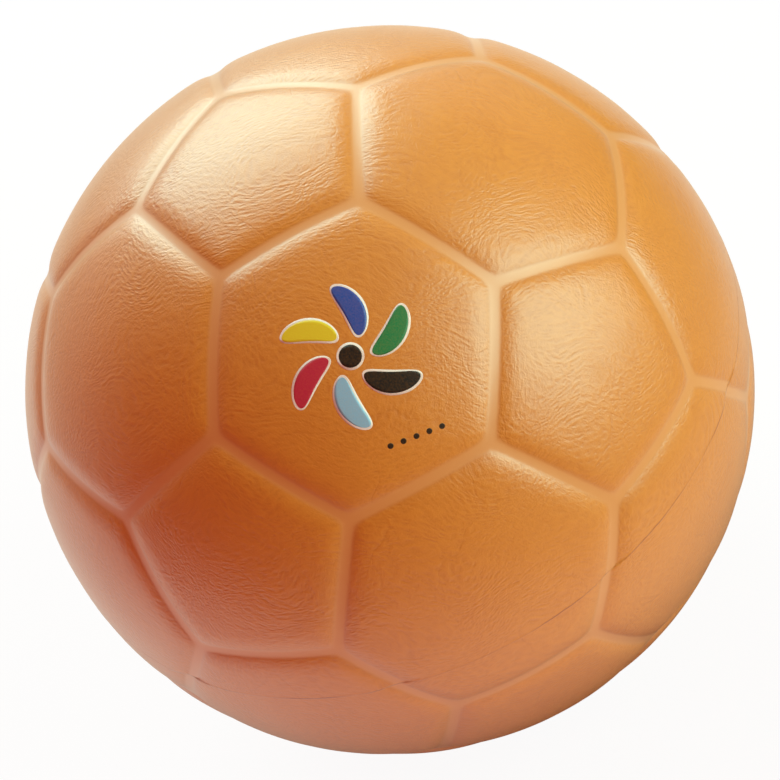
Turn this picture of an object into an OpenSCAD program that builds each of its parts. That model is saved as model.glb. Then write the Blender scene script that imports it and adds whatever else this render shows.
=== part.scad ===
// Soft dodgeball: a moulded cover with thirty-two panels, an air bladder and a needle valve.
// The origin is the centre of the ball. +Z runs through the middle of one five-sided panel,
// and the valve sits in the middle of the opposite one, on -Z. The mould parted on Z = 0.

/* [Ball] */
// Diameter over the panels
ball_d = 180; // [150:5:220]
// Thickness of the cover under the deepest point of a seam
cover_t = 1.6; // [1:0.2:4]
// Thickness of the air bladder
bladder_t = 0.6; // [0.4:0.1:1.5]

/* [Panels and seams] */
// Width of the smooth floor of a seam
seam_floor_w = 2.2; // [1:0.2:3.2]
// Depth of a seam below the panels beside it
seam_depth = 1.1; // [0.6:0.1:2]
// Width over which a panel rounds off, from the floor of a seam to its full height
shoulder_w = 5; // [3:0.5:8]

/* [Valve body] */
// Diameter of the valve neck, which shows at the surface
neck_d = 9; // [7:0.5:14]
// How far the neck's face lies below the panel round it
neck_recess = 0.8; // [0.2:0.1:1.2]
// Width of the bevel of the cover round the neck
bevel_w = 0.8; // [0.4:0.1:1.4]
// Diameter of the valve flange, which is bonded inside the bladder
flange_d = 32; // [24:1:44]
// Thickness of the valve flange
flange_t = 1.8; // [1:0.1:3]
// Diameter of the valve barrel, which reaches into the bladder
barrel_d = 12; // [10.5:0.5:16]
// Length of the valve barrel inside the flange
barrel_l = 9; // [7.5:0.5:14]
// Thickness of the barrel's end wall
barrel_end_t = 1.6; // [1:0.2:2.4]
// Diameter of the air hole in the barrel's end wall
air_hole_d = 2.4; // [1.6:0.2:3.6]

/* [Valve core] */
// Diameter of the core's shank
core_d = 5; // [4.4:0.1:6]
// How far the core's face lies below the face of the neck
core_recess = 0.4; // [0.2:0.1:0.8]
// Diameter of the collar that holds the core in the barrel
collar_d = 7.6; // [7:0.1:8.4]
// Height of the collar
collar_h = 3; // [2:0.2:4]
// Diameter of the needle channel
channel_d = 2; // [1.6:0.1:2.4]
// Depth of the cone that leads the needle into its channel
lead_in_h = 0.6; // [0.3:0.1:1]
// Length of the closed slit that seals the core past the channel's blind end
seal_l = 2.4; // [1.6:0.2:3.6]
// Width of the slit
slit_w = 2.8; // [1.6:0.2:3.6]

/* [Mesh] */
// Straight steps along each side of a panel
side_steps = 4; // [3:1:6]

/* [Hidden] */
$fn = 200;
overrun = 1;
slit_gap = 0.1;

// Directions of the twelve five-sided panels: the poles and two rings of five
pole_count = 5;
ring_lat = atan(1/2);
function direction(lat, lon) = [cos(lat)*cos(lon), cos(lat)*sin(lon), sin(lat)];
function unit(v) = v/norm(v);
pent_axes = concat(
  [direction(90, 0)],
  [for (k = [0:pole_count - 1]) direction(ring_lat, 18 + 72*k)],
  [for (k = [0:pole_count - 1]) direction(-ring_lat, 54 + 72*k)],
  [direction(-90, 0)]);
pent_count = len(pent_axes);

// Two five-sided panels are neighbours when one six-sided side joins them
function near(i, j) = i != j && pent_axes[i]*pent_axes[j] > 0;
function turns_left(i, j, k) = cross(pent_axes[i], pent_axes[j])*pent_axes[k] > 0;
function next_round(i, j) =
  [for (k = [0:pent_count - 1]) if (near(i, k) && near(j, k) && turns_left(i, j, k)) k][0];
function walk_round(i, j, left) = left == 0 ? [] : concat([j], walk_round(i, next_round(i, j), left - 1));
function first_near(i) = [for (j = [0:pent_count - 1]) if (near(i, j)) j][0];
rounds = [for (i = [0:pent_count - 1]) walk_round(i, first_near(i), pole_count)];

// The sixty corners where three seams meet, a third of the way from one axis to the next
corners = [for (i = [0:pent_count - 1]) for (j = rounds[i]) unit(2*pent_axes[i] + pent_axes[j])];
function corner_id(i, j) = pole_count*i + search(j, rounds[i])[0];
pents = [for (i = [0:pent_count - 1]) [for (j = rounds[i]) corner_id(i, j)]];
hexes = [for (i = [0:pent_count - 1]) for (j = rounds[i]) let (k = next_round(i, j)) if (i < j && i < k)
  [corner_id(i, j), corner_id(j, i), corner_id(j, k), corner_id(k, j), corner_id(k, i), corner_id(i, k)]];
panels = concat(pents, hexes);
function panel_axis(p) = unit([for (c = p) 1]*[for (c = p) corners[c]]);

// Angle at the ball's centre, from a panel's axis to the middle of its side
function side_angle(p) = acos(panel_axis(p)*unit(corners[p[0]] + corners[p[1]]));

// The panels lie on one sphere, and each rounds off like a cushion where a seam is drawn in
ball_r = ball_d/2;
deepest_r = ball_r - seam_depth;
function drop(away) = let (share = (away - seam_floor_w/2)/shoulder_w)
  share <= 0 ? seam_depth : share >= 1 ? 0 : seam_depth*pow(1 - share, 2);

// Rings of points run round each panel, close together on its shoulder and wide inside it
shoulder_ring_shares = [0, 0.14, 0.36, 0.64, 1];
inner_ring_shares = [0.32, 0.66];
function reach(p) = ball_r*side_angle(p)*PI/180;
function rings_of(p) = let (edge = seam_floor_w/2 + shoulder_w) concat(
  [0],
  [for (s = shoulder_ring_shares) seam_floor_w/2 + s*shoulder_w],
  [for (s = inner_ring_shares) edge + s*(reach(p) - edge)]);
ring_count = 1 + len(shoulder_ring_shares) + len(inner_ring_shares);

// A point on a ring: the panel's straight-sided outline, seen from the ball's centre, drawn in
function around(p, q) = let (s = floor(q/side_steps), t = (q % side_steps)/side_steps)
  corners[p[s]]*(1 - t) + corners[p[(s + 1) % len(p)]]*t;
function drawn_in(p, away) = tan(side_angle(p) - away/ball_r*180/PI)/tan(side_angle(p));
function ring_point(p, away, q) = let (a = panel_axis(p), v = around(p, q), h = v*a)
  unit(a*h + (v - a*h)*drawn_in(p, away))*(ball_r - drop(away));

// The seams are listed once each, from the panel that meets their lower corner first
function after(p, s) = p[(s + 1) % len(p)];
seam_keys = [for (p = panels) for (s = [0:len(p) - 1]) if (p[s] < after(p, s)) p[s]*len(corners) + after(p, s)];
seam_steps = side_steps - 1;
function seam_first(a, b) = len(corners) + seam_steps*search(a*len(corners) + b, seam_keys)[0];
function on_seam(a, b, t) = t == 0 ? a : a < b ? seam_first(a, b) + t - 1 : seam_first(b, a) + seam_steps - t;

corner_points = [for (c = corners) c*deepest_r];
seam_points = [for (p = panels) for (s = [0:len(p) - 1]) if (p[s] < after(p, s))
  for (t = [1:seam_steps]) ring_point(p, 0, s*side_steps + t)];
panel_points = [for (p = panels) each concat(
  [for (g = [1:ring_count - 1]) for (q = [0:len(p)*side_steps - 1]) ring_point(p, rings_of(p)[g], q)],
  [panel_axis(p)*ball_r])];

first_inside = len(corners) + len(seam_keys)*seam_steps;
function inside_count(sides) = (ring_count - 1)*sides*side_steps + 1;
function panel_first(n) = first_inside + min(n, pent_count)*inside_count(5) + max(0, n - pent_count)*inside_count(6);
function point_id(n, g, q) = let (p = panels[n], turn = len(p)*side_steps, r = q % turn)
  g == 0 ? on_seam(p[floor(r/side_steps)], after(p, floor(r/side_steps)), r % side_steps)
  : g == ring_count ? panel_first(n) + inside_count(len(p)) - 1
  : panel_first(n) + (g - 1)*turn + r;
cover_faces = [for (n = [0:len(panels) - 1]) for (g = [0:ring_count - 1]) for (q = [0:len(panels[n])*side_steps - 1])
  g == ring_count - 1 ? [point_id(n, g + 1, q), point_id(n, g, q + 1), point_id(n, g, q)]
  : [point_id(n, g + 1, q), point_id(n, g + 1, q + 1), point_id(n, g, q + 1), point_id(n, g, q)]];

// Layers of the wall and stations of the valve, as distances from the ball's centre
cover_in_r = deepest_r - cover_t;
bladder_in_r = cover_in_r - bladder_t;
flange_in_r = bladder_in_r - flange_t;
neck_face = ball_r - neck_recess;
core_face = neck_face - core_recess;
barrel_end = flange_in_r - barrel_l;
core_end = barrel_end + barrel_end_t;
channel_end = core_end + seal_l;
collar_end = flange_in_r - collar_h;

module moulded_outside() {
  polyhedron(points = concat(corner_points, seam_points, panel_points), faces = cover_faces);
}

// The valve parts are drawn upright and turned to the underside of the ball
module valve_side() {
  rotate([180, 0, 0]) children();
}

// A round bar along the valve's axis between two stations
module bar(d, from, to) {
  translate([0, 0, from]) cylinder(d = d, h = to - from);
}

// A cone along the valve's axis between two stations
module cone(from_d, to_d, from, to) {
  translate([0, 0, from]) cylinder(d1 = from_d, d2 = to_d, h = to - from);
}

module wall_layer(outer_r, inner_r) {
  difference() {
    sphere(r = outer_r);
    sphere(r = inner_r);
  }
}

module cover() {
  color("#d8792f") difference() {
    moulded_outside();
    sphere(r = cover_in_r);
    valve_side() {
      bar(neck_d, 0, ball_r + overrun);
      cone(neck_d, neck_d + 4*bevel_w, ball_r - bevel_w, ball_r + bevel_w);
    }
  }
}

module bladder() {
  color("#3a3a3c") difference() {
    wall_layer(cover_in_r, bladder_in_r);
    valve_side() bar(neck_d, 0, ball_r);
  }
}

// The flange follows the inside of the bladder and thins out at its rim
module valve_flange() {
  rim_z = sqrt(bladder_in_r*bladder_in_r - flange_d*flange_d/4);
  intersection() {
    wall_layer(bladder_in_r, flange_in_r);
    cone(flange_d - 4*flange_t, flange_d + 2*(ball_r - rim_z), rim_z - 2*flange_t, ball_r);
  }
}

module valve_body() {
  bevel = barrel_end_t;
  color("#2b2b2d") valve_side() difference() {
    union() {
      valve_flange();
      bar(neck_d, flange_in_r, neck_face);
      bar(barrel_d, barrel_end + bevel, flange_in_r + flange_t/2);
      cone(barrel_d - bevel, barrel_d, barrel_end, barrel_end + bevel);
    }
    bar(core_d, core_end, neck_face + overrun);
    bar(collar_d, collar_end, flange_in_r);
    bar(air_hole_d, barrel_end - overrun, core_end);
  }
}

module valve_core() {
  color("#161617") valve_side() difference() {
    union() {
      bar(core_d, core_end, core_face);
      bar(collar_d, collar_end, flange_in_r);
    }
    bar(channel_d, channel_end, core_face + overrun);
    cone(channel_d, channel_d + 2*lead_in_h, core_face - lead_in_h, core_face);
    translate([-slit_w/2, -slit_gap/2, core_end - overrun]) cube([slit_w, slit_gap, seal_l + 2*overrun]);
  }
}

cover();
bladder();
valve_body();
valve_core();
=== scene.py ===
import math

import bmesh
import bpy
import numpy as np
from mathutils import Matrix, Vector, noise
from mathutils.bvhtree import BVHTree


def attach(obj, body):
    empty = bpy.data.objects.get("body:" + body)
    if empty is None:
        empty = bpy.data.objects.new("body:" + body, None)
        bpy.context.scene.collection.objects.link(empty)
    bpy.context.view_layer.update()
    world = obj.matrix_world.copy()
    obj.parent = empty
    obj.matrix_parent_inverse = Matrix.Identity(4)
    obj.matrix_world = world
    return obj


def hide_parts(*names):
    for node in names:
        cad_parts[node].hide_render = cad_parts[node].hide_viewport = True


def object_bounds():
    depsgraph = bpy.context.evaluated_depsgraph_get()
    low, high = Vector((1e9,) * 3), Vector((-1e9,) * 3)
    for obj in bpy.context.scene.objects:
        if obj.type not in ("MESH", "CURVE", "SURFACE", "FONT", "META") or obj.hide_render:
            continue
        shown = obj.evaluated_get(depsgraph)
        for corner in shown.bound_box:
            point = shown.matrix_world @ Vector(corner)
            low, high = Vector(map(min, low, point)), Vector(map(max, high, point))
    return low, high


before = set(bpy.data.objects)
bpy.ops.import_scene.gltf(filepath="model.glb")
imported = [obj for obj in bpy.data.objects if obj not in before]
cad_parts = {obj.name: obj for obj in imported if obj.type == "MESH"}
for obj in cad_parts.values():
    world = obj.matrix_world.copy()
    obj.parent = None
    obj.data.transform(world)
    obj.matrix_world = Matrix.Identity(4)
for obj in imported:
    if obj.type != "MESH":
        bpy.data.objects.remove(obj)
cad_low, cad_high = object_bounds()

# Bladder
# The air-tight lining of the ball: a thin butyl sphere, moulded in one and open only
# where the valve's neck passes. It is matt black and faintly dusty with talc.
MM = 0.001
cover_inner_radius = 87.3
bladder_outer_radius = cover_inner_radius - 0.01
bladder_inner_radius = 86.7
neck_radius = 4.5
lining_stations = 48
lining_turns = 96
cloud_mm = 14


def linear(code):
    """A colour as the shader wants it, from its sRGB hex code."""
    shares = [int(code[i:i + 2], 16) / 255 for i in (1, 3, 5)]
    return tuple(c / 12.92 if c <= 0.04045 else ((c + 0.055) / 1.055) ** 2.4 for c in shares) + (1.0,)


def add_node(tree, kind, inputs=(), **settings):
    """One shader node: its own settings, then a value or a link for each input named."""
    made = tree.nodes.new(kind)
    for field, value in settings.items():
        setattr(made, field, value)
    for key, value in dict(inputs).items():
        if isinstance(value, bpy.types.NodeSocket):
            tree.links.new(value, made.inputs[key])
        else:
            made.inputs[key].default_value = value
    return made


def start_material(name):
    """An empty material, its node tree and its place in millimetres on the object."""
    material = bpy.data.materials.new(name)
    material.use_nodes = True
    tree = material.node_tree
    tree.nodes.clear()
    place = add_node(tree, "ShaderNodeTexCoord").outputs["Object"]
    in_mm = add_node(tree, "ShaderNodeVectorMath", {0: place, "Scale": 1 / MM}, operation="SCALE")
    return material, tree, in_mm.outputs[0]


def end_material(tree, inputs):
    """Closes a material with one Principled surface."""
    surface = add_node(tree, "ShaderNodeBsdfPrincipled", inputs)
    add_node(tree, "ShaderNodeOutputMaterial", {"Surface": surface.outputs[0]})


def moulded_rubber(name, dark, light, roughness, grain_mm):
    """Compression-moulded rubber: matt, slightly cloudy, with a fine blasted mould finish."""
    material, tree, in_mm = start_material(name)
    cloud = add_node(tree, "ShaderNodeTexNoise", {"Vector": in_mm, "Scale": 1 / cloud_mm, "Detail": 3.0})
    colour = add_node(tree, "ShaderNodeMix", {0: cloud.outputs["Fac"], 6: linear(dark),
                                              7: linear(light)}, data_type="RGBA")
    grit = add_node(tree, "ShaderNodeTexNoise", {"Vector": in_mm, "Scale": 1 / grain_mm, "Detail": 2.0})
    relief = add_node(tree, "ShaderNodeBump", {"Height": grit.outputs["Fac"], "Strength": 0.5,
                                               "Distance": 0.03 * MM})
    end_material(tree, {"Base Color": colour.outputs[2], "Roughness": roughness, "IOR": 1.52,
                        "Normal": relief.outputs[0]})
    return material


def lathe(name, profile, turns):
    """A mesh of revolution about Z from (radius, height) stations in mm. Both ends lie on the axis."""
    corner = np.arange(turns) * 2 * math.pi / turns
    points, rows, faces = [], [], []
    for radius, height in profile:
        if radius < 1e-6:
            rows.append([len(points)] * turns)
            points.append((0, 0, height * MM))
        else:
            rows.append(list(range(len(points), len(points) + turns)))
            points += [(radius * math.cos(a) * MM, radius * math.sin(a) * MM, height * MM)
                       for a in corner]
    for lower, upper in zip(rows, rows[1:]):
        for k in range(turns):
            ring = [lower[k], lower[(k + 1) % turns], upper[(k + 1) % turns], upper[k]]
            faces.append(list(dict.fromkeys(ring)))
    mesh = bpy.data.meshes.new(name)
    mesh.from_pydata(points, [], faces)
    return mesh


def place_piece(name, mesh, material, node=None):
    """Puts a mesh in the scene as a piece that rides on the ball."""
    mesh.materials.append(material)
    piece = bpy.data.objects.new(name, mesh)
    bpy.context.scene.collection.objects.link(piece)
    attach(piece, "root")
    if node:
        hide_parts(node)
    return piece


def sphere_stations(radius, start, end, count):
    """Stations of a sphere's meridian between two angles from the valve's pole, in degrees."""
    angles = np.radians(np.linspace(start, end, count))
    return [(abs(radius * math.sin(a)), -radius * math.cos(a)) for a in angles]


neck_edge = math.degrees(math.asin(neck_radius / bladder_inner_radius))
bladder_profile = (sphere_stations(bladder_inner_radius, 180, neck_edge, lining_stations)
                   + sphere_stations(bladder_outer_radius, neck_edge, 180, lining_stations))
bladder_mesh = lathe("bladder_lining", bladder_profile, lining_turns)
bladder_mesh.polygons.foreach_set("use_smooth", [True] * len(bladder_mesh.polygons))
butyl = moulded_rubber("butyl_talced", "#313133", "#48484a", 0.72, 0.5)
place_piece("bladder_lining", bladder_mesh, butyl, "bladder")

# Valve body and valve core
# The body is a black rubber moulding with its flange bonded inside the bladder. The core is a
# softer, oiled plug pressed into it, which closes on itself round the inflating needle.
body_rubber = moulded_rubber("valve_rubber_moulded", "#232325", "#303033", 0.5, 0.35)
core_rubber = moulded_rubber("valve_core_rubber_oiled", "#131314", "#1d1d1f", 0.32, 0.35)
for node, rubber in (("valve_body", body_rubber), ("valve_core", core_rubber)):
    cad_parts[node].data.materials.clear()
    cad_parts[node].data.materials.append(rubber)

# Cover
# One soft shell of foamed vinyl, moulded in two halves: twelve five-sided and twenty
# six-sided panels, cushioned towards smooth-floored seams that are drawn in where a sewn
# ball would have them. The halves met at the middle, a little out of register.
ball_radius = 90.0
panel_side = 36.3
seam_depth = 0.85
seam_half = 1.6
shoulder_width = 6.6
edge_softness = 0.35
corner_softness = 0.7
skin_under_cad = 0.04
swell = 0.10
swell_length = 11.0
seam_smooth = 0.85
grain_fade = 1.1
side_steps = 19
near_rings = [0, 0.3, 0.6, 0.9, 1.2, 1.5, 1.8, 2.15, 2.55, 3.0, 3.5, 4.1, 4.8, 5.7, 6.9, 8.5]
far_rings = 10


def direction(lat, lon):
    """The unit vector at a latitude and longitude in degrees."""
    lat, lon = math.radians(lat), math.radians(lon)
    return np.array([math.cos(lat) * math.cos(lon), math.cos(lat) * math.sin(lon), math.sin(lat)])


def unit(v):
    """One vector, or each row of an array, at length 1."""
    return v / np.linalg.norm(v, axis=-1, keepdims=True)


ring_lat = math.degrees(math.atan(0.5))
pent_axes = np.array([direction(90, 0)]
                     + [direction(ring_lat, 18 + 72 * k) for k in range(5)]
                     + [direction(-ring_lat, 54 + 72 * k) for k in range(5)]
                     + [direction(-90, 0)])
near = (pent_axes @ pent_axes.T > 0) & ~np.eye(12, dtype=bool)


def next_round(i, j):
    """The neighbour of axes i and j that follows j, counter-clockwise about i."""
    turn = np.cross(pent_axes[i], pent_axes[j])
    return next(k for k in range(12) if near[i, k] and near[j, k] and turn @ pent_axes[k] > 0)


rounds = []
for i in range(12):
    walk = [int(np.argmax(near[i]))]
    while len(walk) < 5:
        walk.append(next_round(i, walk[-1]))
    rounds.append(walk)
corners = np.array([unit(2 * pent_axes[i] + pent_axes[j]) for i in range(12) for j in rounds[i]])


def corner_id(i, j):
    """The corner a third of the way from axis i to axis j."""
    return 5 * i + rounds[i].index(j)


panels = [[corner_id(i, j) for j in rounds[i]] for i in range(12)]
for i in range(12):
    for j in rounds[i]:
        k = next_round(i, j)
        if i < j and i < k:
            panels.append([corner_id(a, b) for a, b in ((i, j), (j, i), (j, k), (k, j), (k, i), (i, k))])
axes = np.array([unit(corners[p].sum(0)) for p in panels])
side_angles = [math.acos(axes[n] @ unit(corners[p[0]] + corners[p[1]])) for n, p in enumerate(panels)]


def from_side(n, u):
    """How far directions u lie inside panel n, in mm, rounded off at its corners."""
    p = panels[n]
    inward = unit(np.array([np.cross(corners[a], corners[b]) for a, b in zip(p, p[1:] + p[:1])]))
    away = ball_radius * np.arcsin(np.clip(u @ inward.T, -1, 1))
    soft = -corner_softness * np.log(np.exp(-away / corner_softness).sum(-1))
    return np.maximum(soft, 0)


def cut(away):
    """Depth of the mould's own cut at a distance from the middle of a seam."""
    hollow_share, shoulder_share = seam_half / 3, shoulder_width / 3
    steepest = seam_depth / (hollow_share + shoulder_share)
    shoulder = shoulder_share * np.clip(1 - (away - seam_half) / shoulder_width, 0, 1) ** 3
    hollow = shoulder_share + hollow_share * (1 - np.clip(away / seam_half, 0, 1) ** 3)
    return steepest * np.where(away < seam_half, hollow, shoulder)


def groove(away):
    """Depth of the skin below the ball's own sphere: the cut, with the edges of its floor softened."""
    return sum(cut(np.abs(away + share * edge_softness)) for share in (-1, -0.5, 0, 0.5, 1)) / 5


def skin(n, u):
    """Points of the outside of the cover in mm, their share of leather grain, and how far in they lie."""
    away = from_side(n, u)
    grain = np.clip((away - seam_smooth) / grain_fade, 0, 1)
    grain = grain * grain * (3 - 2 * grain)
    places = u * ball_radius / swell_length
    lift = np.array([noise.noise(Vector(x)) + 0.5 * noise.noise(Vector(x) * 2.1) for x in places])
    radius = ball_radius - groove(away) - skin_under_cad - swell * grain * (1 + np.clip(lift, -1, 1)) / 2
    return u * radius[:, None], grain, away


points, grains, lays, faces = [], [], [], []


def add_points(places, grain, lay):
    """Puts points in the cover's mesh, with their grain and lie, and gives their numbers."""
    first = len(points)
    points.extend(places.tolist())
    grains.extend(grain.tolist())
    lays.extend(lay.tolist())
    return list(range(first, first + len(places)))


def outline(n, away):
    """Directions round panel n, its straight-sided outline drawn in by a distance."""
    p, a = panels[n], axes[n]
    t = (np.arange(side_steps) / side_steps)[:, None]
    v = np.concatenate([corners[s] * (1 - t) + corners[e] * t for s, e in zip(p, p[1:] + p[:1])])
    h = (v @ a)[:, None]
    share = math.tan(side_angles[n] - away / ball_radius) / math.tan(side_angles[n])
    return unit(a * h + (v - a * h) * share)


# The wrinkles' patterns of two panels lie this far apart, so that no two are alike
lay_apart = 60


def lay_of(n, away):
    """Where each point lies for wrinkles that follow the sides: distance in, then round the panel."""
    count = len(panels[n]) * side_steps
    turn = np.arange(count) * 2 * math.pi / count
    reach = len(panels[n]) * panel_side / (2 * math.pi)
    return np.stack([away + lay_apart * n, reach * np.cos(turn), reach * np.sin(turn)], axis=1)


def join_rings(outer, inner):
    """Faces between two rings of as many points."""
    count = len(outer)
    for q in range(count):
        r = (q + 1) % count
        faces.append([outer[q], outer[r], inner[r], inner[q]])


# Round the valve, the skin runs over a bevel into the neck's hole: radius, and depth below the rim
valve_panel = 11
neck_stations = [(5.75, 0), (5.42, 0.02), (5.22, 0.12), (4.68, 0.62), (4.53, 0.78), (4.5, 0.98)]
inner_rings = 44
shared = {}
for n, p in enumerate(panels):
    count = len(p) * side_steps
    ring = []
    edge = outline(n, 0)
    spots, grain, away = skin(n, edge)
    lay = lay_of(n, away)
    for s, (a, b) in enumerate(zip(p, p[1:] + p[:1])):
        for t in range(side_steps):
            key = ("corner", a) if t == 0 else (a, b, t) if a < b else (b, a, side_steps - t)
            at = s * side_steps + t
            if key not in shared:
                shared[key] = add_points(spots[at:at + 1], grain[at:at + 1], lay[at:at + 1])[0]
            ring.append(shared[key])
    reach = ball_radius * side_angles[n]
    centre_gap = (reach - near_rings[-1]) / (far_rings + 1)
    insets = near_rings[1:] + [near_rings[-1] + centre_gap * (k + 1) for k in range(far_rings)]
    rings = [ring]
    hole_angle = math.asin(neck_stations[0][0] / ball_radius)
    for inset in insets:
        u = outline(n, inset)
        if n == valve_panel:
            # Past the groove the outlines turn from five-sided to round, and stop at the neck
            share = max(0, (inset - near_rings[-1]) / (insets[-1] - near_rings[-1]))
            flat = unit(u - axes[n] * (u @ axes[n])[:, None])
            lean = np.arccos(np.clip(u @ axes[n], -1, 1))
            full = side_angles[n] - near_rings[-1] / ball_radius
            if share:
                lean = lean * (1 - share) + (hole_angle + (full - hole_angle) * (1 - share)) * share
            if share == 1:
                lean = np.full(count, hole_angle)
            u = axes[n] * np.cos(lean)[:, None] + flat * np.sin(lean)[:, None]
        spots, grain, away = skin(n, u)
        rings.append(add_points(spots, grain, lay_of(n, away)))
    for outer, inner in zip(rings, rings[1:]):
        join_rings(outer, inner)
    last = rings[-1]
    if n != valve_panel:
        spots, grain, away = skin(n, axes[n][None])
        middle = add_points(spots, grain, np.array([[away[0] + lay_apart * n, 0, 0]]))[0]
        faces += [[last[q], last[(q + 1) % count], middle] for q in range(count)]
    else:
        rim = np.array([points[q] for q in last])
        rim_level = -rim[:, 2].mean()
        flat = unit(rim * [1, 1, 0])
        for radius, depth in neck_stations[1:]:
            places = flat * radius
            places[:, 2] = -(rim_level - depth)
            ring = add_points(places, np.zeros(count), np.zeros((count, 3)))
            join_rings(last, ring)
            last = ring
        start = math.degrees(math.asin(neck_radius / cover_inner_radius))
        for radius, height in sphere_stations(cover_inner_radius, start, 180, inner_rings)[:-1]:
            places = flat * radius
            places[:, 2] = height
            ring = add_points(places, np.zeros(count), np.zeros((count, 3)))
            join_rings(last, ring)
            last = ring
        top = add_points(np.array([[0, 0, cover_inner_radius]]), np.zeros(1), np.zeros((1, 3)))[0]
        faces += [[last[q], last[(q + 1) % count], top] for q in range(count)]

cover_mesh = bpy.data.meshes.new("cover")
cover_mesh.from_pydata((np.array(points) * MM).tolist(), [], faces)
cover_mesh.attributes.new("grain", "FLOAT", "POINT").data.foreach_set(
    "value", np.array(grains, np.float32))
cover_mesh.attributes.new("lay", "FLOAT_VECTOR", "POINT").data.foreach_set(
    "vector", np.array(lays, np.float32).ravel())

# The mould's parting line: the lower half sits a little round from the upper one, and a
# hair-thin bead of vinyl was squeezed out between them.
half_turn = math.radians(-0.8)
bead = 0.05
bead_width = 0.22
bead_foot = 0.8
wander = 0.22
wander_scale = 7
wander_reach = 2.5
inside_limit = (cover_inner_radius + 0.5) * MM
band_half = 6 * MM
work = bmesh.new()
work.from_mesh(cover_mesh)
for level in (-bead_foot, -bead_width, 0, bead_width, bead_foot):
    outside = {v for v in work.verts if v.co.length > inside_limit}
    band = [v for v in work.verts if v in outside]
    band += [x for x in [*work.edges, *work.faces]
             if all(v in outside and abs(v.co.z) < band_half for v in x.verts)]
    bmesh.ops.bisect_plane(work, geom=band, dist=1e-7, plane_co=(0, 0, level * MM), plane_no=(0, 0, 1))
for v in work.verts:
    if v.co.length < inside_limit:
        continue
    z = v.co.z / MM
    if abs(z) < 0.02:
        v.co += v.co.normalized() * bead * MM
    turned = np.clip((bead_width - z) / (2 * bead_width), 0, 1)
    v.co = Matrix.Rotation(half_turn * turned, 4, "Z") @ v.co
    around = v.co.normalized() * wander_scale
    waved = wander * noise.noise(Vector((around.x, around.y, 0)))
    v.co.z += waved * math.exp(-(z / wander_reach) ** 2) * MM
work.to_mesh(cover_mesh)
work.free()
cover_mesh.polygons.foreach_set("use_smooth", [True] * len(cover_mesh.polygons))

# Foamed vinyl, moulded against an etched leather texture: a soft satin orange skin whose
# grooves were polished in the mould, so they are smoother and shinier than the panels.
vinyl_orange = "#e5932c"
vinyl_deep = "#dd8826"
# Painted shade: the low spots of the leather grain are darkened, as shade in the wrinkles
vinyl_painted_crease_shade = "#bd6314"
# Painted sheen: the seam floors get a paler colour that stands in for the light their glossy floors catch
vinyl_groove_painted_sheen = "#e39b54"
flash_brown = "#a04418"
wrinkle_length, wrinkle_width = 2.2, 0.88
pebble_mm = 0.42
streak_mm = 0.62
crease_mm = 21
drift_mm, drift_reach = 26, 24.0
waver_mm, waver_reach = 2.4, 1.5
strength_mm = 13
grain_height = 0.085
grain_along = Vector((0.9, -0.3, -0.3)).normalized()
grain_across = Vector((0, 0, 1)).cross(grain_along).normalized()
patch_mm = 22
line_shake_mm = 3.5
line_patch_mm = 12


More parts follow.
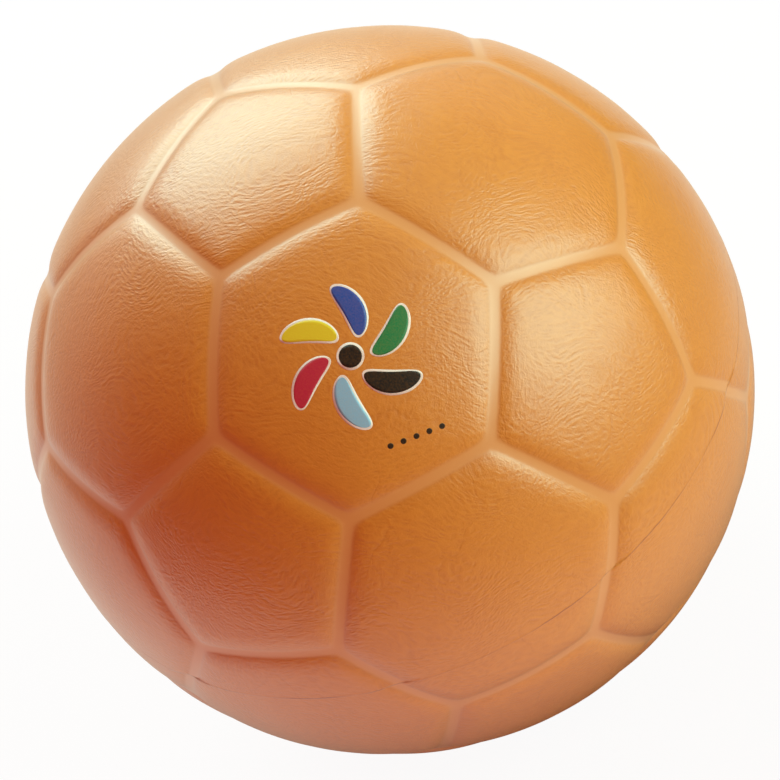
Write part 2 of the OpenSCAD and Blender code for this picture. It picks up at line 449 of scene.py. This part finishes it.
def leather_relief(tree, in_mm):
    """The pressed grain: long wrinkles that drift in their lie, fine pebbles, folds that run
    beside the seams, and a few creases that cross a whole panel."""
    masked = add_node(tree, "ShaderNodeAttribute", attribute_name="grain").outputs["Fac"]
    lay = add_node(tree, "ShaderNodeAttribute", attribute_name="lay").outputs["Vector"]
    drift = add_node(tree, "ShaderNodeTexNoise", {"Vector": in_mm, "Scale": 1 / drift_mm, "Detail": 1.0})
    waver = add_node(tree, "ShaderNodeTexNoise", {"Vector": in_mm, "Scale": 1 / waver_mm, "Detail": 2.0})
    moved = in_mm
    for bend, reach in ((drift, drift_reach), (waver, waver_reach)):
        moved = add_node(tree, "ShaderNodeVectorMath",
                         {0: bend.outputs["Color"], 1: (reach, reach, reach), 2: moved},
                         operation="MULTIPLY_ADD").outputs[0]
    wrinkle_axes = ((grain_along, wrinkle_length), (grain_across, wrinkle_width),
                    (grain_along.cross(grain_across), wrinkle_width))
    lie = [add_node(tree, "ShaderNodeVectorMath", {0: moved, 1: axis / size}, operation="DOT_PRODUCT")
           for axis, size in wrinkle_axes]
    lie = add_node(tree, "ShaderNodeCombineXYZ", {k: part.outputs["Value"] for k, part in enumerate(lie)})
    cells = add_node(tree, "ShaderNodeTexVoronoi", {"Vector": lie.outputs[0], "Scale": 1.0,
                                                    "Smoothness": 0.5}, feature="SMOOTH_F1")
    soft = add_node(tree, "ShaderNodeTexNoise", {"Vector": in_mm, "Scale": 1 / strength_mm,
                                                 "Detail": 1.0})
    strong = add_node(tree, "ShaderNodeMapRange", {"Value": soft.outputs["Fac"], "From Min": 0.35,
                                                   "From Max": 0.65, "To Min": 0.6, "To Max": 1.15})
    wrinkles = add_node(tree, "ShaderNodeMath", {0: cells.outputs["Distance"], 1: strong.outputs[0]},
                        operation="MULTIPLY")
    pebbles = add_node(tree, "ShaderNodeTexNoise", {"Vector": in_mm, "Scale": 1 / pebble_mm,
                                                    "Detail": 1.5})
    fold_place = add_node(tree, "ShaderNodeVectorMath", {0: lay, 1: (1 / streak_mm, 0.3, 0.3)},
                          operation="MULTIPLY")
    folds = add_node(tree, "ShaderNodeTexNoise", {"Vector": fold_place.outputs[0], "Scale": 1.0,
                                                  "Detail": 2.5, "Distortion": 0.6})
    weak = add_node(tree, "ShaderNodeMapRange", {"Value": soft.outputs["Fac"], "From Min": 0.4,
                                                 "From Max": 0.6, "To Min": 0.9, "To Max": 0.2})
    folded = add_node(tree, "ShaderNodeMath", {0: folds.outputs["Fac"], 1: weak.outputs[0]},
                      operation="MULTIPLY")
    long_way = add_node(tree, "ShaderNodeTexNoise", {"Vector": moved, "Scale": 1 / crease_mm,
                                                     "Detail": 1.0})
    off_line = add_node(tree, "ShaderNodeMath", {0: long_way.outputs["Fac"], 1: -0.5}, operation="ADD")
    off_line = add_node(tree, "ShaderNodeMath", {0: off_line.outputs[0]}, operation="ABSOLUTE")
    crease = add_node(tree, "ShaderNodeMapRange", {"Value": off_line.outputs[0], "From Min": 0.0,
                                                   "From Max": 0.012, "To Min": -0.25, "To Max": 0.0})
    height = wrinkles.outputs[0]
    for pattern, weight in ((pebbles.outputs["Fac"], 0.5), (folded.outputs[0], 0.8),
                            (crease.outputs[0], 1.0)):
        height = add_node(tree, "ShaderNodeMath", {0: pattern, 1: weight, 2: height},
                          operation="MULTIPLY_ADD").outputs[0]
    height = add_node(tree, "ShaderNodeMath", {0: height, 1: masked}, operation="MULTIPLY")
    relief = add_node(tree, "ShaderNodeBump", {"Height": height.outputs[0], "Strength": 1.0,
                                               "Distance": grain_height * MM})
    return relief.outputs[0], masked, height.outputs[0]


vinyl, tree, in_mm = start_material("foamed_vinyl_moulded")
normal, masked, height = leather_relief(tree, in_mm)
patch = add_node(tree, "ShaderNodeTexNoise", {"Vector": in_mm, "Scale": 1 / patch_mm, "Detail": 3.0})
body = add_node(tree, "ShaderNodeMix", {0: patch.outputs["Fac"], 6: linear(vinyl_deep),
                                        7: linear(vinyl_orange)}, data_type="RGBA")
# Painted shade in the wrinkles: the lower the grain, the more of the darker colour
crease_shade_share = add_node(tree, "ShaderNodeMapRange", {"Value": height, "From Min": 0.35, "From Max": 1.15,
                                                 "To Min": 0.3, "To Max": 0.0})
body = add_node(tree, "ShaderNodeMix", {0: crease_shade_share.outputs[0], 6: body.outputs[2],
                                        7: linear(vinyl_painted_crease_shade)}, data_type="RGBA")
# Painted sheen: where the grain fades out into the seam floors, the paler groove colour takes over
painted_groove_sheen = add_node(tree, "ShaderNodeMix", {0: masked, 6: linear(vinyl_groove_painted_sheen), 7: body.outputs[2]},
                   data_type="RGBA")
above = add_node(tree, "ShaderNodeSeparateXYZ", {0: in_mm}).outputs[2]
shaky = add_node(tree, "ShaderNodeTexNoise", {"Vector": in_mm, "Scale": 1 / line_shake_mm,
                                              "Detail": 2.0})
offset = add_node(tree, "ShaderNodeMath", {0: shaky.outputs["Fac"], 1: -0.5}, operation="ADD")
line_at = add_node(tree, "ShaderNodeMath", {0: offset.outputs[0], 1: 0.5, 2: above},
                   operation="MULTIPLY_ADD")
line_far = add_node(tree, "ShaderNodeMath", {0: line_at.outputs[0]}, operation="ABSOLUTE")
patchy = add_node(tree, "ShaderNodeTexNoise", {"Vector": in_mm, "Scale": 1 / line_patch_mm,
                                               "Detail": 2.0})
line_dark = add_node(tree, "ShaderNodeMapRange", {"Value": patchy.outputs["Fac"], "From Min": 0.42,
                                                  "From Max": 0.64, "To Min": 0.15, "To Max": 0.75})
line = add_node(tree, "ShaderNodeMapRange", {"Value": line_far.outputs[0], "From Min": 0.08,
                                             "From Max": 0.26, "To Min": line_dark.outputs[0],
                                             "To Max": 0.0})
coloured = add_node(tree, "ShaderNodeMix", {0: line.outputs[0], 6: painted_groove_sheen.outputs[2],
                                            7: linear(flash_brown)}, data_type="RGBA")
shine = add_node(tree, "ShaderNodeMapRange", {"Value": masked, "To Min": 0.38, "To Max": 0.42})
end_material(tree, {"Base Color": coloured.outputs[2], "Roughness": shine.outputs[0], "IOR": 1.54,
                    "Coat Weight": 1.0, "Coat Roughness": 0.4, "Coat IOR": 1.6, "Normal": normal,
                    "Coat Normal": normal})
place_piece("cover_moulded", cover_mesh, vinyl, "cover")

# Printed emblem
# A pinwheel and a row of dots, pad-printed in gloss ink on one six-sided panel of the upper
# half. Each colour lies on a white ground that shows round it as a thin line.
print_axis = direction(52.6226, 270)
to_right = Vector((0.877, -0.3144, -0.3635))
ink_lift = 0.05
ground_lift = 0.025
ink_thickness = 0.06
ground_margin = 0.55
first_petal_turn = 0.2
petal_rows, petal_columns = 25, 9
hub_radius = 2.6
dot_radius = 0.7
dot_row_start, dot_row_step = (9, -20.5), (3.0, 1.1)
dot_rows, dot_columns = 17, 7
ray_start = 0.12
surface = BVHTree.FromPolygons([v.co.copy() for v in cover_mesh.vertices],
                               [tuple(f.vertices) for f in cover_mesh.polygons])
print_out = Vector(print_axis)
print_x = (to_right - print_out * to_right.dot(print_out)).normalized()
print_y = print_out.cross(print_x)


def on_cover(x, y, lift):
    """The point of the cover over a place on the print, in mm from its middle."""
    aim = (print_out * ball_radius + print_x * x + print_y * y).normalized()
    hit = surface.ray_cast(aim * ray_start, -aim)[0]
    return hit + aim * lift * MM


def petal(grow, turn, length=11.5, width=6.2, hub_gap=5.0, swirl=0.55):
    """Rows of points of one pinwheel petal: round outside, drawn in towards the hub. It grows all
    round for its white ground."""
    rows = []
    for t in np.linspace(0, 1, petal_rows):
        along = hub_gap - grow + (length + 2 * grow) * (1 - math.cos(math.pi * t)) / 2
        share = (along - hub_gap + grow) / (length + 2 * grow)
        oval = math.sqrt(max(1e-4, 1 - (2 * share - 1) ** 2))
        half = (width / 2 + grow) * oval * (0.72 + 0.35 * share)
        bent = turn + swirl * share
        rows.append([(along * math.cos(bent) - w * math.sin(bent),
                      along * math.sin(bent) + w * math.cos(bent))
                     for w in np.linspace(-half, half, petal_columns)])
    return rows


def dot(grow, x, y, radius):
    """Rows of points of a round dot."""
    rows = []
    for t in np.linspace(0, math.pi, dot_rows):
        half = max(0.01, (radius + grow) * math.sin(t))
        rows.append([(x - (radius + grow) * math.cos(t), y + w)
                     for w in np.linspace(-half, half, dot_columns)])
    return rows


def ink(name, rows, lift, material):
    """One printed shape as a film that follows the skin."""
    film = bmesh.new()
    grid = [[film.verts.new(on_cover(x, y, lift)) for x, y in row] for row in rows]
    for low, high in zip(grid, grid[1:]):
        for k in range(len(low) - 1):
            film.faces.new((low[k], high[k], high[k + 1], low[k + 1]))
    bmesh.ops.recalc_face_normals(film, faces=film.faces[:])
    first = film.faces[:][0]
    if first.normal.dot(first.calc_center_median()) < 0:
        bmesh.ops.reverse_faces(film, faces=film.faces[:])
    bmesh.ops.solidify(film, geom=film.faces[:], thickness=ink_thickness * MM)
    mesh = bpy.data.meshes.new(name)
    film.to_mesh(mesh)
    film.free()
    mesh.polygons.foreach_set("use_smooth", [True] * len(mesh.polygons))
    return place_piece(name, mesh, material)


def gloss_ink(name, code):
    """Solvent ink, flat in colour and a little glossier than the vinyl under it."""
    material, tree, in_mm = start_material(name)
    weave = add_node(tree, "ShaderNodeTexNoise", {"Vector": in_mm, "Scale": 1 / pebble_mm,
                                                  "Detail": 2.0})
    relief = add_node(tree, "ShaderNodeBump", {"Height": weave.outputs["Fac"], "Strength": 0.5,
                                               "Distance": 0.04 * MM})
    thin = add_node(tree, "ShaderNodeMapRange", {"Value": weave.outputs["Fac"], "From Min": 0.3,
                                                 "From Max": 0.7, "To Min": 0.0, "To Max": 0.08})
    colour = add_node(tree, "ShaderNodeMix", {0: thin.outputs[0], 6: linear(code),
                                              7: linear(vinyl_orange)}, data_type="RGBA")
    end_material(tree, {"Base Color": colour.outputs[2], "Roughness": 0.38, "IOR": 1.5,
                        "Normal": relief.outputs[0]})
    return material


white_ink = gloss_ink("ink_white", "#f0ebe4")
petal_inks = [gloss_ink("ink_" + name, code) for name, code in
              (("green", "#17824a"), ("blue", "#2450a6"), ("yellow", "#e2cf2c"),
               ("crimson", "#c22a48"), ("pale_blue", "#8cc6e6"), ("black", "#1b1716"))]
for k, material in enumerate(petal_inks):
    turn = k * math.pi / 3 + first_petal_turn
    ink("print_ground_petal_%d" % (k + 1), petal(ground_margin, turn), ground_lift, white_ink)
    ink("print_petal_%d" % (k + 1), petal(0, turn), ink_lift, material)
black_ink = petal_inks[5]
ink("print_ground_hub", dot(ground_margin, 0, 0, hub_radius), ground_lift, white_ink)
ink("print_hub", dot(0, 0, 0, hub_radius), ink_lift, black_ink)
for k in range(5):
    x, y = [start + step * k for start, step in zip(dot_row_start, dot_row_step)]
    row_dot = dot(0, x, y, dot_radius)
    ink("print_dot_%d" % (k + 1), row_dot, ground_lift, black_ink)

# Floor
# A wide white sheet that takes the ball's shadow, and that the camera sees as near to white as
# the backdrop. The ball mirrors it dark at its own foot, brighter further out, and dimmer again
# to the right, in front and far off. Its bounce on the ball is a little warm.
to_top = Vector((0.4783, 0.6438, 0.5972))
to_camera = Vector((0.0463, -0.6976, 0.715))
floor_half = 6.0
sheet_white = "#f7f5f4"
sheet_bounce = "#f7cfc2"
sheet_mirrored = "#fffbec"
white_share = 0.93
floor_mesh = bpy.data.meshes.new("floor")
floor_mesh.from_pydata([(x * floor_half, y * floor_half, cad_low.z) for x, y in
                        ((-1, -1), (1, -1), (1, 1), (-1, 1))], [], [(0, 1, 2, 3)])
floor_paper = bpy.data.materials.new("white_paper_sheet")
floor_paper.use_nodes = True
tree = floor_paper.node_tree
tree.nodes.clear()
rays = add_node(tree, "ShaderNodeLightPath")
paper = add_node(tree, "ShaderNodeMix", {0: rays.outputs["Is Camera Ray"], 6: linear(sheet_bounce),
                                         7: linear(sheet_white)}, data_type="RGBA")
matt = add_node(tree, "ShaderNodeBsdfDiffuse", {"Color": paper.outputs[2]})
spot = add_node(tree, "ShaderNodeTexCoord").outputs["Object"]
away = add_node(tree, "ShaderNodeVectorMath", {0: spot, 1: (0, 0, cad_low.z)}, operation="DISTANCE")
aside, ahead = [add_node(tree, "ShaderNodeVectorMath", {0: spot, 1: aim}, operation="DOT_PRODUCT")
                for aim in (to_right, to_camera)]
mirrored = rays.outputs["Is Glossy Ray"]
for reading, start, end, start_share, end_share in (
        (away, 0.055, 0.155, 0.0, 1.0), (away, 0.5, 1.0, 1.0, 0.2),
        (aside, 0.13, 0.23, 1.0, 0.15), (ahead, 0.04, 0.2, 1.0, 0.45)):
    part = add_node(tree, "ShaderNodeMapRange", {"Value": reading.outputs["Value"], "From Min": start,
                                                 "From Max": end, "To Min": start_share,
                                                 "To Max": end_share})
    mirrored = add_node(tree, "ShaderNodeMath", {0: mirrored, 1: part.outputs[0]},
                        operation="MULTIPLY").outputs[0]
bright = add_node(tree, "ShaderNodeMath", {0: rays.outputs["Is Camera Ray"], 1: mirrored},
                  operation="ADD")
sheen = add_node(tree, "ShaderNodeMix", {0: rays.outputs["Is Camera Ray"], 6: linear(sheet_mirrored),
                                         7: (1, 1, 1, 1)}, data_type="RGBA")
glow = add_node(tree, "ShaderNodeEmission", {"Color": sheen.outputs[2], "Strength": bright.outputs[0]})
share = add_node(tree, "ShaderNodeMath", {0: rays.outputs["Is Camera Ray"], 1: white_share,
                                          2: rays.outputs["Is Glossy Ray"]}, operation="MULTIPLY_ADD")
mixed = add_node(tree, "ShaderNodeMixShader", {0: share.outputs[0], 1: matt.outputs[0],
                                               2: glow.outputs[0]})
add_node(tree, "ShaderNodeOutputMaterial", {"Surface": mixed.outputs[0]})
floor_mesh.materials.append(floor_paper)
floor = bpy.data.objects.new("floor", floor_mesh)
bpy.context.scene.collection.objects.link(floor)

# Studio
# A white tent, which the ball mirrors dark on the camera's side. Its fill is warm, and stronger
# and paler from above. A large softbox stands to the right of the camera, and a second one high
# up behind the ball.
fill_level, fill_lean = 0.5, 0.22
fill_low, fill_high = "#ff2c2c", "#ffd2c0"
world = bpy.data.worlds.new("white_tent")
bpy.context.scene.world = world
world.use_nodes = True
tree = world.node_tree
tree.nodes.clear()
rays = add_node(tree, "ShaderNodeLightPath")
way = add_node(tree, "ShaderNodeTexCoord").outputs["Generated"]
behind = add_node(tree, "ShaderNodeVectorMath", {0: way, 1: -to_camera}, operation="DOT_PRODUCT")
wall = add_node(tree, "ShaderNodeMapRange", {"Value": behind.outputs["Value"], "From Min": 0.0,
                                             "From Max": 0.6, "To Min": 0.06, "To Max": 1.0})
seen = add_node(tree, "ShaderNodeMath", {0: rays.outputs["Is Camera Ray"],
                                         1: rays.outputs["Is Transmission Ray"]}, operation="MAXIMUM")
overhead = add_node(tree, "ShaderNodeVectorMath", {0: way, 1: (to_top + to_right * 0.15).normalized()},
                    operation="DOT_PRODUCT")
soft = add_node(tree, "ShaderNodeMath", {0: overhead.outputs["Value"], 1: fill_lean, 2: fill_level},
                operation="MULTIPLY_ADD")
fill = add_node(tree, "ShaderNodeMix", {0: rays.outputs["Is Glossy Ray"], 2: soft.outputs[0],
                                        3: wall.outputs[0]}, data_type="FLOAT")
level = add_node(tree, "ShaderNodeMix", {0: seen.outputs[0], 2: fill.outputs[0], 3: 1.0},
                 data_type="FLOAT")
plain = add_node(tree, "ShaderNodeMath", {0: seen.outputs[0], 1: rays.outputs["Is Glossy Ray"]},
                 operation="MAXIMUM")
paler = add_node(tree, "ShaderNodeMapRange", {"Value": overhead.outputs["Value"], "From Min": -0.15,
                                              "From Max": 1.0, "To Min": 0.0, "To Max": 1.0})
warm = add_node(tree, "ShaderNodeMix", {0: paler.outputs[0], 6: linear(fill_low), 7: linear(fill_high)},
                data_type="RGBA")
tint = add_node(tree, "ShaderNodeMix", {0: plain.outputs[0], 6: warm.outputs[2], 7: (1, 1, 1, 1)},
                data_type="RGBA")
tent = add_node(tree, "ShaderNodeBackground", {"Color": tint.outputs[2], "Strength": level.outputs[0]})
add_node(tree, "ShaderNodeOutputWorld", {"Surface": tent.outputs[0]})


def softbox(name, side, up, front, distance, width, power, colour):
    """A square soft light, aimed at the ball from a direction given as the camera sees it."""
    lamp = bpy.data.lights.new(name, "AREA")
    lamp.size = width
    lamp.energy = power
    lamp.color = linear(colour)[:3]
    light = bpy.data.objects.new(name, lamp)
    aim = (to_right * side + to_top * up + to_camera * front).normalized()
    light.location = aim * distance
    light.rotation_euler = aim.to_track_quat("Z", "Y").to_euler()
    bpy.context.scene.collection.objects.link(light)


softbox("softbox_right", side=0.71, up=0.33, front=0.62, distance=1.2, width=0.98, power=14.2,
        colour="#c8ffe8")
softbox("softbox_top", side=-0.48, up=0.85, front=-0.12, distance=1.1, width=0.9, power=12.4,
        colour="#c8fff2")

# Camera
# It looks down at the ball from in front, leaning to one side, from a little under a metre.
focal_mm = 160.75
sensor_mm = 36
distance_mm = 863
camera_data = bpy.data.cameras.new("camera")
camera_data.lens = focal_mm
camera_data.sensor_width = sensor_mm
camera = bpy.data.objects.new("camera", camera_data)
bpy.context.scene.collection.objects.link(camera)
view_turn = Matrix((to_right, to_top, to_camera)).transposed()
camera.matrix_world = Matrix.Translation(to_camera.normalized() * distance_mm * MM) @ view_turn.to_4x4()
bpy.context.scene.camera = camera
bpy.context.scene.view_settings.view_transform = "Standard"
